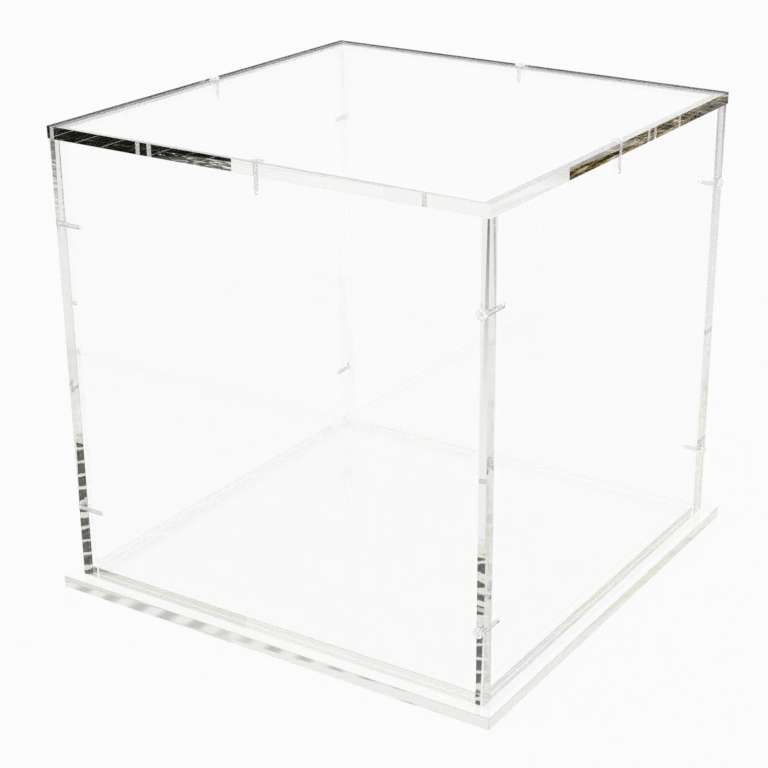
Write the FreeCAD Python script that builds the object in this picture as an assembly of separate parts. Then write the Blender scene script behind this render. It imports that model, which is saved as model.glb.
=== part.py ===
import FreeCAD, Part
import os

from FreeCAD import Vector

# Clear display box: a five-panel cover held together by push pins, over a stepped base.
# Millimetres, +Z up. The origin is the centre of the base plate's underside, and the front faces -Y.

# Cover
cover_side = 198.0  # outside width and depth over the four walls
wall_height = 190.5
wall_sheet = 5.0  # thickness of the four wall panels
top_sheet = 5.0  # thickness of the top panel
top_overhang = 0.5  # how far the top panel stands out past the walls

# Base
base_sheet = 5.0
base_margin = 6.0  # ledge of the base plate outside the walls
plate_sheet = 2.8  # raised plate that the cover drops over
plate_clearance = 0.5  # gap between the raised plate and each wall

# Push pins
shank_diameter = 1.8
head_diameter = 4.4
head_height = 1.0
head_bevel = 0.35  # rim of the head
pin_bite = 6.5  # length of shank inside the second panel's edge
point_length = 0.9  # conical tip
low_pin_height = 31.0  # lower corner pins, above the foot of the wall
pin_spacing = 125.0  # from the lower corner pins to the upper ones

# Fits and edges
hole_clearance = 0.1  # around the shank
hole_spare_depth = 0.5  # blind hole past the pin's tip
drill_point_height = 0.6  # conical bottom of a drilled blind hole
seam_gap = 0.05  # air line where two flat faces butt
edge_bevel = 0.04  # narrow bevel where the cutter breaks every edge of a sheet

# Levels and half sizes worked out from the sizes above
half_cover = cover_side / 2
base_side = cover_side + 2 * base_margin
plate_side = cover_side - 2 * (wall_sheet + plate_clearance)
top_side = cover_side + 2 * top_overhang
wall_foot = base_sheet + seam_gap
wall_head = wall_foot + wall_height
top_underside = wall_head + seam_gap
top_face = top_underside + top_sheet
hole_radius = shank_diameter / 2 + hole_clearance
blind_depth = pin_bite + hole_spare_depth
pin_line = half_cover - wall_sheet / 2  # centre line of a wall's thickness, from the middle of the box
pin_heights = {
    "lower": wall_foot + low_pin_height,
    "upper": wall_foot + low_pin_height + pin_spacing,
}

# The walls follow each other round the box, a quarter turn apart
SIDES = ("front", "right", "back", "left")
UP = Vector(0, 0, 1)
DOWN = Vector(0, 0, -1)
INWARD = Vector(0, 1, 0)  # into the front wall from outside
ALONG = Vector(1, 0, 0)  # along the front wall, from its butted end


def sheet(length, width, thickness, corner):
    """A flat sheet with all its edges bevelled, its lowest corner at the given point."""
    blank = Part.makeBox(length, width, thickness, corner)
    return blank.makeChamfer(edge_bevel, blank.Edges)


def square_sheet(side, thickness, underside):
    """A square sheet, level and centred on the box."""
    return sheet(side, side, thickness, Vector(-side / 2, -side / 2, underside))


def through_hole(mouth, direction, thickness):
    """A plain hole right through a sheet, for the shank of a pin."""
    start = mouth - direction * seam_gap
    return Part.makeCylinder(hole_radius, thickness + 2 * seam_gap, start, direction)


def blind_hole(mouth, direction):
    """A drilled hole in the edge of a sheet, with the cone that a drill leaves."""
    start = mouth - direction * seam_gap
    bore = Part.makeCylinder(hole_radius, blind_depth + seam_gap, start, direction)
    cone = Part.makeCone(hole_radius, 0, drill_point_height, mouth + direction * blind_depth, direction)
    return bore.fuse(cone)


def turned(shape, side):
    """A copy of a front-side shape, turned round the box to the named side."""
    copy = shape.copy()
    copy.rotate(Vector(0, 0, 0), UP, 90 * SIDES.index(side))
    return copy


def wall():
    """The front wall: its left end butts on the left wall, and its right end covers the right wall."""
    butted_end = -half_cover + wall_sheet + seam_gap
    corner = Vector(butted_end, -half_cover, wall_foot)
    panel = sheet(half_cover - butted_end, wall_sheet, wall_height, corner)
    holes = [blind_hole(Vector(0, -pin_line, wall_head), DOWN)]
    for height in pin_heights.values():
        holes.append(through_hole(Vector(pin_line, -half_cover, height), INWARD, wall_sheet))
        holes.append(blind_hole(Vector(butted_end, -pin_line, height), ALONG))
    return panel.cut(holes)


def top_panel():
    """The lid of the cover, with a pin hole over the middle of each wall."""
    panel = square_sheet(top_side, top_sheet, top_underside)
    hole = through_hole(Vector(0, -pin_line, top_underside), UP, top_sheet)
    return panel.cut([turned(hole, side) for side in SIDES])


def pin(covered):
    """A push pin for a sheet of the given thickness, head up, with its seat at the origin."""
    head = head_diameter / 2
    shank = shank_diameter / 2
    tip = -(covered + 2 * seam_gap + pin_bite)
    outline = [
        Vector(0, 0, head_height),
        Vector(head - head_bevel, 0, head_height),
        Vector(head, 0, head_height - head_bevel),
        Vector(head, 0, 0),
        Vector(shank, 0, 0),
        Vector(shank, 0, tip + point_length),
        Vector(0, 0, tip),
        Vector(0, 0, head_height),
    ]
    return Part.Face(Part.makePolygon(outline)).revolve(Vector(0, 0, 0), UP, 360)


def top_pin():
    """The pin that holds the top panel to the front wall."""
    part = pin(top_sheet)
    part.translate(Vector(0, -pin_line, top_face + seam_gap))
    return part


def corner_pin(height):
    """A pin through the front wall into the end of the right wall."""
    part = pin(wall_sheet)
    part.rotate(Vector(0, 0, 0), ALONG, 90)
    part.translate(Vector(pin_line, -half_cover - seam_gap, height))
    return part


def build():
    """Every piece of the display box, by name."""
    pieces = {
        "base_plate": square_sheet(base_side, base_sheet, 0),
        "locating_plate": square_sheet(plate_side, plate_sheet, base_sheet + seam_gap),
        "top_panel": top_panel(),
    }
    for side in SIDES:
        pieces[side + "_panel"] = turned(wall(), side)
        pieces["top_pin_" + side] = turned(top_pin(), side)
        for level, height in pin_heights.items():
            pieces["corner_pin_" + side + "_" + level] = turned(corner_pin(height), side)
    return pieces


os.makedirs("parts", exist_ok=True)
for name, shape in build().items():
    solid = shape.Solids[0]
    print(name, "solids", len(shape.Solids), "valid", solid.isValid(), "volume", round(solid.Volume, 2))
    solid.exportStep("parts/" + name + ".step")
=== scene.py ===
import math

import bpy
from mathutils import Matrix, Vector


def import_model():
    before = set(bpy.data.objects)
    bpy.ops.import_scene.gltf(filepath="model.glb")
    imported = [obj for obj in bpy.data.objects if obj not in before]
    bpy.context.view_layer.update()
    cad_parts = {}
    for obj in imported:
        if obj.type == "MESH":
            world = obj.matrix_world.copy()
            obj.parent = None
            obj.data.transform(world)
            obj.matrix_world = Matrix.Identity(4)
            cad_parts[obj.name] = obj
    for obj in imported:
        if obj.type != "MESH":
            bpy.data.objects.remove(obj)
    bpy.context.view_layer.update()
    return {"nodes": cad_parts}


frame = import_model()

scene = bpy.context.scene
nodes = frame["nodes"]

# Colours of the surroundings
PAPER = (0.965, 0.965, 0.965, 1)  # plain background
# colour of the painted dark reflections: the lines in the top's far edges and the dashes in the base's
# edges
PAINTED_DARK = (0.01, 0.01, 0.01, 1)
CEILING = (0.3, 0.32, 0.29, 1)
LIGHT = (1.0, 1.0, 1.0, 1)  # what lights the scene

# How strongly a surface bends light
ACRYLIC_IOR = 1.49
FILLED_HOLE_IOR = 1.06  # wall of a drilled hole that a pin fills
SHANK_IOR = 1.1  # skin of a pin where it touches its hole

LIGHT_BOUNCES = 64  # enough for light that runs along inside a sheet
MARK_DEPTH = 0.0001  # metres, of the ridges and grain on a surface

# Areas of the floor that carry painted reflections, which show only in the box's edges, in metres: lowest,
# highest and soft width on each axis
PAINTED_FRONT_STRIP = {"X": (-0.7, -0.47, 0.02), "Y": (-0.693, -0.655, 0.002)}  # mirrored in the top's front edge
PAINTED_RIGHT_STRIP = {"X": (0.4232, 0.443, 0.0008), "Y": (0.56, 0.98, 0.04)}  # mirrored in the top's right edge
# Painted dark dashes on the floor behind the base, a painted reflection in the base's edges
PAINTED_DASH_AREA = {"X": (-0.11, 0.012, 0.02), "Y": (0.105, 0.122, 0.0005)}  # behind the base
PAINTED_DASH_HALF_PITCH = 0.00905

# The room, with heights from 0 at the horizon to 1 at the zenith
WALL_FOOT = (0.234, 0.239)  # the studio's walls fade in over this height
FRONT_WALL_DROP = 0.016  # how much lower they start at the front
CEILING_FOOT = (0.57, 0.64)
PATTERN_LEVEL = 0.2  # level plane on which the studio's patterns are drawn
LEAST_HEIGHT = 0.02  # keeps the patterns finite at the horizon

# The sight lines past the two far edges of the top, in degrees below the horizon
BACK_EDGE_FALL = 13.7487
LEFT_EDGE_FALL = 19.2996
FAR_EDGES_TURN = (-0.8, -0.37, 0.01)  # lowest, highest and soft width, in radians from the back
# The painted dark line that reflected rays see just above the sight lines, a painted reflection in the
# top's far edges
PAINTED_EDGE_LINE = (-0.005, 0.0009, 0.0007)  # lowest, highest and soft width, above a sight line
PAINTED_EDGE_LINE_TOP = (0.0002, 0.0009)

# The photograph's camera, fitted to the corners of the box
IMAGE_WIDTH = 768  # pixels
SENSOR_WIDTH = 36  # millimetres
FOCAL_LENGTH = 1780.29  # pixels
IMAGE_CENTRE = (465.512, 378.885)  # pixels
CAMERA_PLACE = (0.38637, -0.59437, 0.36952)
CAMERA_AZIMUTH = math.radians(30.8933)
CAMERA_ELEVATION = math.radians(22.0438)
CAMERA_ROLL = math.radians(0.5117)


def add(tree, kind, inputs=None, **settings):
    """A shader node with its settings, and its sockets set to values or linked to other sockets."""
    made = tree.nodes.new("ShaderNode" + kind)
    for name, value in settings.items():
        setattr(made, name, value)
    for socket, value in (inputs or {}).items():
        if isinstance(value, bpy.types.NodeSocket):
            tree.links.new(value, made.inputs[socket])
        else:
            made.inputs[socket].default_value = value
    return made


def math_node(tree, operation, first, *others):
    """One operation on the first value and each of the others in turn."""
    result = first
    for other in others or (0.0,):
        result = add(tree, "Math", {0: result, 1: other}, operation=operation).outputs[0]
    return result


def times(tree, *values):
    return math_node(tree, "MULTIPLY", *values)


def most(tree, *values):
    return math_node(tree, "MAXIMUM", *values)


def plus(tree, *values):
    return math_node(tree, "ADD", *values)


def fade(tree, value, low, high, start=0.0, end=1.0):
    """The start value below low and the end value above high, smooth between. High may be the smaller."""
    inputs = {"Value": value, "From Min": low, "From Max": high, "To Min": start, "To Max": end}
    return add(tree, "MapRange", inputs, interpolation_type="SMOOTHSTEP").outputs["Result"]


def band(tree, value, low, high, soft):
    """1 between low and high, with soft ends."""
    return times(tree, fade(tree, value, low, low + soft), fade(tree, value, high, high - soft))


def area(tree, axes, limits):
    """1 inside a rectangle on the floor."""
    return times(tree, *[band(tree, axes[axis], *ends) for axis, ends in limits.items()])


def blend(tree, factor, first, second):
    """A mix of two colours."""
    mix = add(tree, "Mix", {"Factor": factor}, data_type="RGBA")
    for index, colour in ((6, first), (7, second)):
        if isinstance(colour, bpy.types.NodeSocket):
            tree.links.new(colour, mix.inputs[index])
        else:
            mix.inputs[index].default_value = colour
    return mix.outputs[2]


def ramp(tree, value, stops):
    made = add(tree, "ValToRGB", {"Fac": value})
    elements = made.color_ramp.elements
    while len(elements) < len(stops):
        elements.new(0.5)
    for element, (position, colour) in zip(elements, stops):
        element.position = position
        element.color = (*colour, 1)
    return made.outputs["Color"]


def noise(tree, place, scale, detail, stretch=None, roughness=0.5):
    """Noise from 0 to 1, its grain stretched along the axes that have a small factor."""
    if stretch:
        place = add(tree, "Mapping", {"Vector": place, "Scale": stretch}).outputs["Vector"]
    inputs = {"Vector": place, "Scale": scale, "Detail": detail, "Roughness": roughness}
    return add(tree, "TexNoise", inputs).outputs["Fac"]


def size_of_parts(tree, vector):
    """The three parts of a vector without their signs."""
    size = add(tree, "VectorMath", {0: vector}, operation="ABSOLUTE").outputs["Vector"]
    return size, add(tree, "SeparateXYZ", {0: size}).outputs


def dot(tree, first, second):
    return add(tree, "VectorMath", {0: first, 1: second}, operation="DOT_PRODUCT").outputs["Value"]


def new_material(name):
    material = bpy.data.materials.new(name)
    material.use_nodes = True
    material.node_tree.nodes.clear()
    return material, material.node_tree


def sheet(name, across, ridges, tint, edge_roughness=0.0):
    """Clear acrylic sheet: polished faces with faint wipe marks, and edges with fine ridges along them.

    A pin fills its drilled hole, so the wall of the hole hardly bends the light. These walls and the narrow
    bevels are the surfaces that aren't square to the axes.
    """
    material, tree = new_material(name)
    place = add(tree, "TexCoord").outputs["Object"]
    normal = add(tree, "NewGeometry").outputs["Normal"]
    edge = fade(tree, math_node(tree, "ABSOLUTE", dot(tree, normal, across)), 0.8, 0.6)
    parts = size_of_parts(tree, normal)[1]
    squareness = most(tree, parts["X"], parts["Y"], parts["Z"])
    along_edges = tuple(1.0 if axis else 0.03 for axis in across)
    ridge = noise(tree, place, scale=900.0, detail=2.0, stretch=along_edges)
    wipes = noise(tree, place, scale=60.0, detail=4.0, stretch=(1.0, 0.35, 0.6))
    face_roughness = fade(tree, wipes, 0.62, 0.85, start=0.0, end=0.012)
    bump = add(tree, "Bump", {
        "Strength": times(tree, edge, ridges),
        "Distance": MARK_DEPTH,
        "Height": ridge,
    })
    shader = add(tree, "BsdfPrincipled", {
        "Base Color": (0.998, 0.998, 0.997, 1),
        "Roughness": plus(tree, face_roughness, times(tree, edge, edge_roughness)),
        "IOR": fade(tree, squareness, 0.9995, 0.998, ACRYLIC_IOR, FILLED_HOLE_IOR),
        "Transmission Weight": 1.0,
        "Normal": bump.outputs["Normal"],
    })
    volume = add(tree, "VolumeAbsorption", {"Color": (0.6, 0.62, 0.54, 1), "Density": tint})
    add(tree, "OutputMaterial", {"Surface": shader.outputs[0], "Volume": volume.outputs[0]})
    return material


def outermost(name, axis):
    """How far a piece reaches along an axis of the frame."""
    return max(vertex.co[axis] for vertex in nodes[name].data.vertices)


def moulded(name):
    """Milky moulded plastic of the pins, with an uneven skin.

    The shank touches its hole and hardly bends the light. The head stands outside the panels.
    """
    seam = 0.00005  # air line under a head
    skin_depth = 0.00004
    wall_face = outermost("right_panel", 0)
    head_seat = outermost("top_panel", 2) + seam
    material, tree = new_material(name)
    place = add(tree, "TexCoord").outputs["Object"]
    skin = noise(tree, place, scale=1500.0, detail=3.0)
    bump = add(tree, "Bump", {"Strength": 0.15, "Distance": MARK_DEPTH, "Height": skin})
    parts = size_of_parts(tree, place)[1]
    outward = most(tree, parts["X"], parts["Y"])
    head = most(
        tree,
        fade(tree, outward, wall_face, wall_face + skin_depth),
        fade(tree, parts["Z"], head_seat, head_seat + skin_depth),
    )
    shader = add(tree, "BsdfPrincipled", {
        "Base Color": (0.99, 0.99, 0.985, 1),
        "Roughness": times(tree, skin, 0.5),
        "IOR": plus(tree, times(tree, head, ACRYLIC_IOR - SHANK_IOR), SHANK_IOR),
        "Transmission Weight": 0.5,
        "Normal": bump.outputs["Normal"],
    })
    add(tree, "OutputMaterial", {"Surface": shader.outputs[0]})
    return material


def dress(material, *names):
    for name in names:
        data = nodes[name].data
        data.materials.clear()
        data.materials.append(material)


def dress_box():
    level = (0, 0, 1)
    dress(sheet("wall_sheet_front_back", (0, 1, 0), ridges=0.004, tint=1.5), "front_panel", "back_panel")
    dress(sheet("wall_sheet_left_right", (1, 0, 0), ridges=0.004, tint=1.5), "left_panel", "right_panel")
    dress(sheet("top_sheet", level, ridges=0.003, tint=0.5), "top_panel")
    dress(sheet("base_sheet", level, ridges=0.004, tint=1.5), "base_plate")
    dress(sheet("plate_sheet", level, ridges=0.002, tint=1.2, edge_roughness=0.03), "locating_plate")
    dress(moulded("pin_plastic"), *[name for name in nodes if "_pin_" in name])


def studio(tree, x, y, height):
    """The room round the table, in the direction of the point x, y and at a height from 0 to 1, the zenith.

    It is white, with a grey ceiling, a dark doorway at the back right and brown shelves at the front left.
    Angles are in degrees from the back, turning to the right.
    """
    turn = math_node(tree, "ARCTAN2", x, y)
    share = plus(tree, math_node(tree, "DIVIDE", turn, 2 * math.pi), 0.5)
    flat = add(tree, "CombineXYZ", {"X": x, "Y": y}).outputs[0]

    def by_angle(*stops):
        return ramp(tree, share, [(angle / 360 + 0.5, (part,) * 3) for angle, part in stops])

    def patches(stretch, lightness, stops):
        grain = noise(tree, flat, scale=1.0, detail=4.0, stretch=stretch, roughness=0.65)
        return ramp(tree, plus(tree, grain, lightness), stops)

    # The doorway's clutter is light on its left side, and light rungs cross its upper part
    clutter = by_angle((29.5, 0.19), (34.5, 0))
    wobble = times(tree, noise(tree, flat, scale=120.0, detail=1.0), 0.005)
    rung_half_pitch = 0.00325
    rungs = math_node(tree, "PINGPONG", plus(tree, height, wobble), rung_half_pitch)
    rungs = times(tree, fade(tree, rungs, 0.0023, 0.0029), fade(tree, height, 0.3, 0.4, 0.0, 0.48))
    lintel = times(tree, fade(tree, height, 0.463, 0.468), by_angle((33, 0), (36, 0.38)))
    doorway = patches((50, 200, 1), plus(tree, clutter, most(tree, rungs, lintel)), (
        (0.65, (0.003, 0.004, 0.006)),
        (0.68, (0.1, 0.08, 0.05)),
        (0.72, (0.85, 0.83, 0.78)),
    ))

    # The shelves are darker at the floor on their left side, and pale at the top
    shade = times(tree, by_angle((-152, 1), (-150.5, 0)), fade(tree, height, 0.1, 0.05, 0.0, -0.1))
    pale = fade(tree, height, 0.34, 0.42, 0.0, 0.4)
    shelves = patches((500, 45, 1), plus(tree, shade, pale), (
        (0.44, (0.003, 0.002, 0.0)),
        (0.49, (0.1, 0.058, 0.003)),
        (0.54, (0.25, 0.17, 0.03)),
        (0.59, (0.5, 0.39, 0.17)),
        (0.65, (0.92, 0.88, 0.76)),
    ))

    colour = blend(tree, by_angle((8, 0), (28, 1), (150, 1), (160, 0)), PAPER, doorway)
    colour = blend(tree, by_angle((-180, 1), (-125, 1), (-80, 0), (130, 0), (160, 1)), colour, shelves)
    return blend(tree, fade(tree, height, *CEILING_FOOT), colour, CEILING)


def seen_share(tree):
    """1 for what the camera sees directly, mirrored or through the box, and 0 for what lights the scene.

    The ray's other facts come with it.
    """
    path = add(tree, "LightPath").outputs
    seen = most(tree, path["Is Camera Ray"], path["Is Glossy Ray"], path["Is Transmission Ray"])
    lit = math_node(tree, "MINIMUM", path["Diffuse Depth"], 1.0)
    return times(tree, seen, math_node(tree, "SUBTRACT", 1.0, lit)), path


def after(tree, path, reflections):
    """1 for a ray that has been reflected at least so many times."""
    return fade(tree, path["Glossy Depth"], reflections - 1, reflections)


def world():
    """White light. Rays reflected three times or more see the studio in place of the plain background.

    A thin painted dark line round the room, just above the sight lines past the two far edges of the top,
    shows in those edges as a painted reflection.
    """
    made = bpy.data.worlds.new("studio")
    made.use_nodes = True
    tree = made.node_tree
    tree.nodes.clear()
    way = add(tree, "TexCoord").outputs["Generated"]
    axes = add(tree, "SeparateXYZ", {0: way}).outputs
    size, parts = size_of_parts(tree, way)
    height = parts["Z"]
    spread = math_node(tree, "DIVIDE", PATTERN_LEVEL, most(tree, height, LEAST_HEIGHT))
    room = studio(tree, times(tree, axes["X"], spread), times(tree, axes["Y"], spread), height)

    # How far a direction lies above the sight lines past both far edges
    back = math.radians(BACK_EDGE_FALL)
    left = math.radians(LEFT_EDGE_FALL)
    above_back = dot(tree, size, (0, -math.sin(back), math.cos(back)))
    above_left = dot(tree, size, (-math.sin(left), 0, math.cos(left)))
    above = math_node(tree, "MINIMUM", above_back, above_left)

    # The room is painted dark below the sight lines, a painted reflection for the top's far edges, then
    # paper, and then come the walls
    front_drop = fade(tree, axes["Y"], 0.05, -0.05, start=0.0, end=FRONT_WALL_DROP)
    room = blend(tree, fade(tree, plus(tree, height, front_drop), *WALL_FOOT), PAPER, room)
    room = blend(tree, fade(tree, above, *PAINTED_EDGE_LINE_TOP), PAINTED_DARK, room)

    seen, path = seen_share(tree)
    # Painted reflection: reflected rays see a thin dark line just above the sight lines past the top's far
    # edges
    turn = math_node(tree, "ARCTAN2", axes["X"], axes["Y"])
    far_edges = times(tree, after(tree, path, 1), band(tree, turn, *FAR_EDGES_TURN))
    painted_edge_line = most(tree, far_edges, after(tree, path, 2))
    painted_edge_line = times(tree, painted_edge_line, band(tree, above, *PAINTED_EDGE_LINE))
    colour = blend(tree, after(tree, path, 3), blend(tree, painted_edge_line, PAPER, PAINTED_DARK), room)
    background = add(tree, "Background", {"Color": blend(tree, seen, LIGHT, colour)})
    add(tree, "OutputWorld", {"Surface": background.outputs[0]})
    scene.world = made


def floor_sight(tree, axes, flat, path):
    """What the camera sees on the floor: paper, and in reflections painted reflections: the studio's
    colours at the foot of its walls, away from the box and in two strips, and dark dashes behind the base.
    """
    distance = add(tree, "VectorMath", {0: flat}, operation="LENGTH").outputs["Value"]

    # Painted shade, seen only in reflections: dusk away from the box, deepest at the back right and the
    # front left
    right = times(
        tree,
        fade(tree, axes["X"], 0.1, 0.2),
        fade(tree, axes["Y"], 0.1, 0.2),
        fade(tree, distance, 0.25, 0.7, start=0.0, end=0.9),
    )
    left = times(
        tree,
        fade(tree, axes["X"], -0.1, -0.2),
        fade(tree, axes["Y"], -0.1, -0.2),
        fade(tree, distance, 0.25, 0.6, start=0.0, end=0.6),
    )
    around = fade(tree, distance, 0.3, 0.6, start=0.0, end=0.35)
    painted_dusk = most(tree, left, right, around, fade(tree, distance, 0.74, 0.8))

    # The strips are painted reflections of the studio's dark colours and show only in reflections off the
    # outside of the box
    outside = times(tree, after(tree, path, 1), fade(tree, path["Transmission Depth"], 1.0, 0.0))
    painted_strips = most(tree, area(tree, axes, PAINTED_FRONT_STRIP), area(tree, axes, PAINTED_RIGHT_STRIP))
    far = most(tree, times(tree, painted_strips, outside), times(tree, painted_dusk, after(tree, path, 2)))
    colour = blend(tree, far, PAPER, studio(tree, axes["X"], axes["Y"], 0.0))

    # Painted reflection: dark dashes behind the base that only rays reflected three times see
    painted_dashes = math_node(tree, "PINGPONG", axes["X"], PAINTED_DASH_HALF_PITCH)
    painted_dashes = fade(tree, painted_dashes, 0.002, 0.0075, start=0.0, end=0.4)
    painted_dashes = times(tree, painted_dashes, area(tree, axes, PAINTED_DASH_AREA))
    return blend(tree, times(tree, painted_dashes, after(tree, path, 3)), colour, PAINTED_DARK), distance


def floor():
    """A sheet of pale paper that keeps the box's shadow near it, and shows painted reflections to reflected
    rays.
    """
    reach = 4.0
    level = -0.0002
    turns = ((-1, -1), (1, -1), (1, 1), (-1, 1))
    mesh = bpy.data.meshes.new("floor")
    mesh.from_pydata([(x * reach, y * reach, level) for x, y in turns], [], [(0, 1, 2, 3)])
    made = bpy.data.objects.new("floor", mesh)
    scene.collection.objects.link(made)
    material, tree = new_material("floor")
    mesh.materials.append(material)
    place = add(tree, "NewGeometry").outputs["Position"]
    axes = add(tree, "SeparateXYZ", {0: place}).outputs
    flat = add(tree, "CombineXYZ", {"X": axes["X"], "Y": axes["Y"]}).outputs[0]
    seen, path = seen_share(tree)
    colour, distance = floor_sight(tree, axes, flat, path)
    grain = noise(tree, place, scale=400.0, detail=2.0)
    lit = add(tree, "BsdfPrincipled", {
        "Base Color": blend(tree, grain, (0.86, 0.86, 0.86, 1), (0.9, 0.9, 0.9, 1)),
        "Roughness": 0.9,
    })
    glow = add(tree, "Emission", {"Color": colour})
    flatness = most(tree, 0.95, fade(tree, distance, 0.4, 0.55))
    mixed = add(tree, "MixShader", {0: times(tree, seen, flatness), 1: lit.outputs[0], 2: glow.outputs[0]})
    add(tree, "OutputMaterial", {"Surface": mixed.outputs[0]})


def lamp(name, place, size, watts):
    """A square lamp that looks at the middle of the box."""
    data = bpy.data.lights.new(name, "AREA")
    data.shape = "SQUARE"
    data.size = size
    data.energy = watts
    made = bpy.data.objects.new(name, data)
    scene.collection.objects.link(made)
    made.location = place
    made.rotation_euler = (Vector((0, 0, 0.1)) - made.location).to_track_quat("-Z", "Y").to_euler()


def camera():
    data = bpy.data.cameras.new("camera")
    data.sensor_width = SENSOR_WIDTH
    data.lens = FOCAL_LENGTH * SENSOR_WIDTH / IMAGE_WIDTH
    data.shift_x = (IMAGE_WIDTH / 2 - IMAGE_CENTRE[0]) / IMAGE_WIDTH
    data.shift_y = (IMAGE_CENTRE[1] - IMAGE_WIDTH / 2) / IMAGE_WIDTH
    data.clip_start = 0.01
    made = bpy.data.objects.new("camera", data)
    scene.collection.objects.link(made)
    pan = Matrix.Rotation(CAMERA_AZIMUTH, 4, "Z")
    tilt = Matrix.Rotation(math.pi / 2 - CAMERA_ELEVATION, 4, "X")
    made.matrix_world = Matrix.Translation(CAMERA_PLACE) @ pan @ tilt @ Matrix.Rotation(CAMERA_ROLL, 4, "Z")
    scene.camera = made


dress_box()
world()
floor()
lamp("soft_light", place=(-0.9, -0.7, 1.7), size=1.4, watts=4)
camera()

scene.view_settings.view_transform = "Standard"
scene.cycles.max_bounces = LIGHT_BOUNCES
scene.cycles.transmission_bounces = LIGHT_BOUNCES
scene.cycles.glossy_bounces = LIGHT_BOUNCES
scene.cycles.blur_glossy = 0.0
